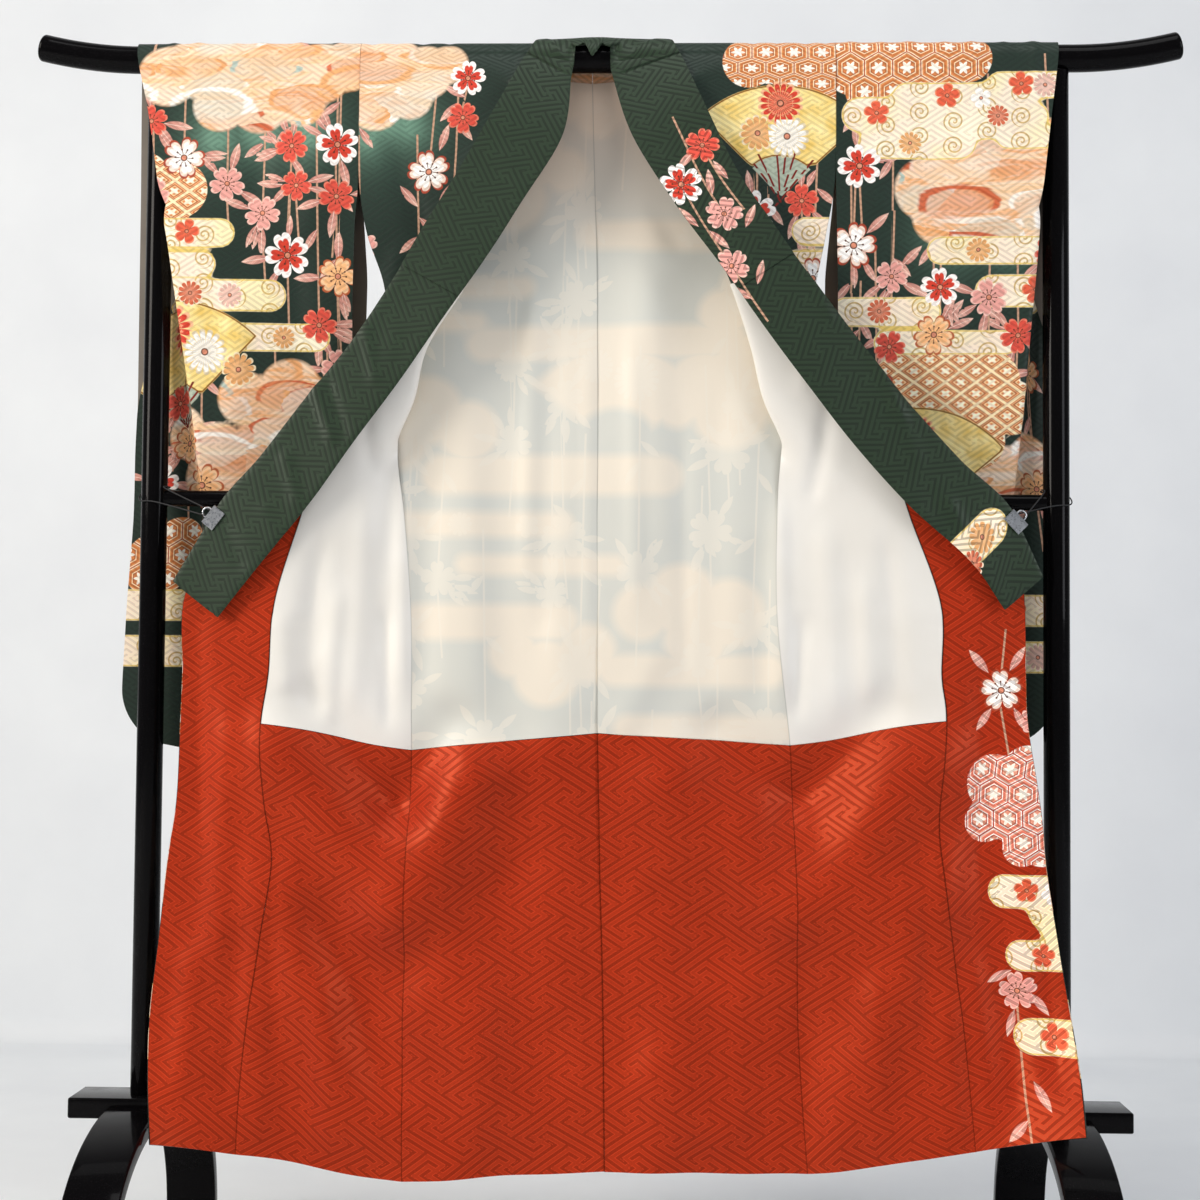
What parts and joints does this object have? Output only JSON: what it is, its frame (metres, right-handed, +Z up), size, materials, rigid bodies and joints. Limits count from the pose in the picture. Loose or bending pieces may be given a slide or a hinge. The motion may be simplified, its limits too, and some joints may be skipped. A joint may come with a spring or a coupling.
{
  "type": "furisode kimono on a lacquered kimono stand",
  "caption": "Long-sleeved formal kimono hung open on a black lacquered bar stand, fronts turned back to show cream upper lining and vermilion hem lining.",
  "frame": {"origin": "centre of the stand on the floor", "axes": "+X to the wearer's left along the top bar, -Y towards the viewer, +Z up"},
  "size_m": [1.73, 0.68, 1.8679],
  "materials": {
    "outer_silk": "satin figured silk with printed flowers, clouds and mist bands",
    "collar_silk": "satin figured silk, mostly plain green",
    "upper_lining": "thin plain silk, faintly see-through",
    "hem_lining": "satin figured silk in one colour",
    "lacquer": "black gloss lacquer",
    "steel": "bright plated spring steel"
  },
  "bodies": {
    "root": {"back_right": "outer_silk", "front_right": "outer_silk", "overlap_right": "outer_silk", "sleeve_right": "outer_silk", "upper_lining_back_right": "upper_lining", "upper_lining_front_right": "upper_lining", "hem_lining_back_right": "hem_lining", "hem_lining_front_right": "hem_lining", "overlap_lining_right": "hem_lining", "post_right": "lacquer", "foot_right": "lacquer", "clip_right": "steel", "back_left": "outer_silk", "front_left": "outer_silk", "overlap_left": "outer_silk", "sleeve_left": "outer_silk", "upper_lining_back_left": "upper_lining", "upper_lining_front_left": "upper_lining", "hem_lining_back_left": "hem_lining", "hem_lining_front_left": "hem_lining", "overlap_lining_left": "hem_lining", "post_left": "lacquer", "foot_left": "lacquer", "clip_left": "steel", "collar": "collar_silk", "over_collar": "collar_silk", "top_bar": "lacquer", "middle_rail": "lacquer", "bottom_beam": "lacquer"}
  },
  "joints": []
}
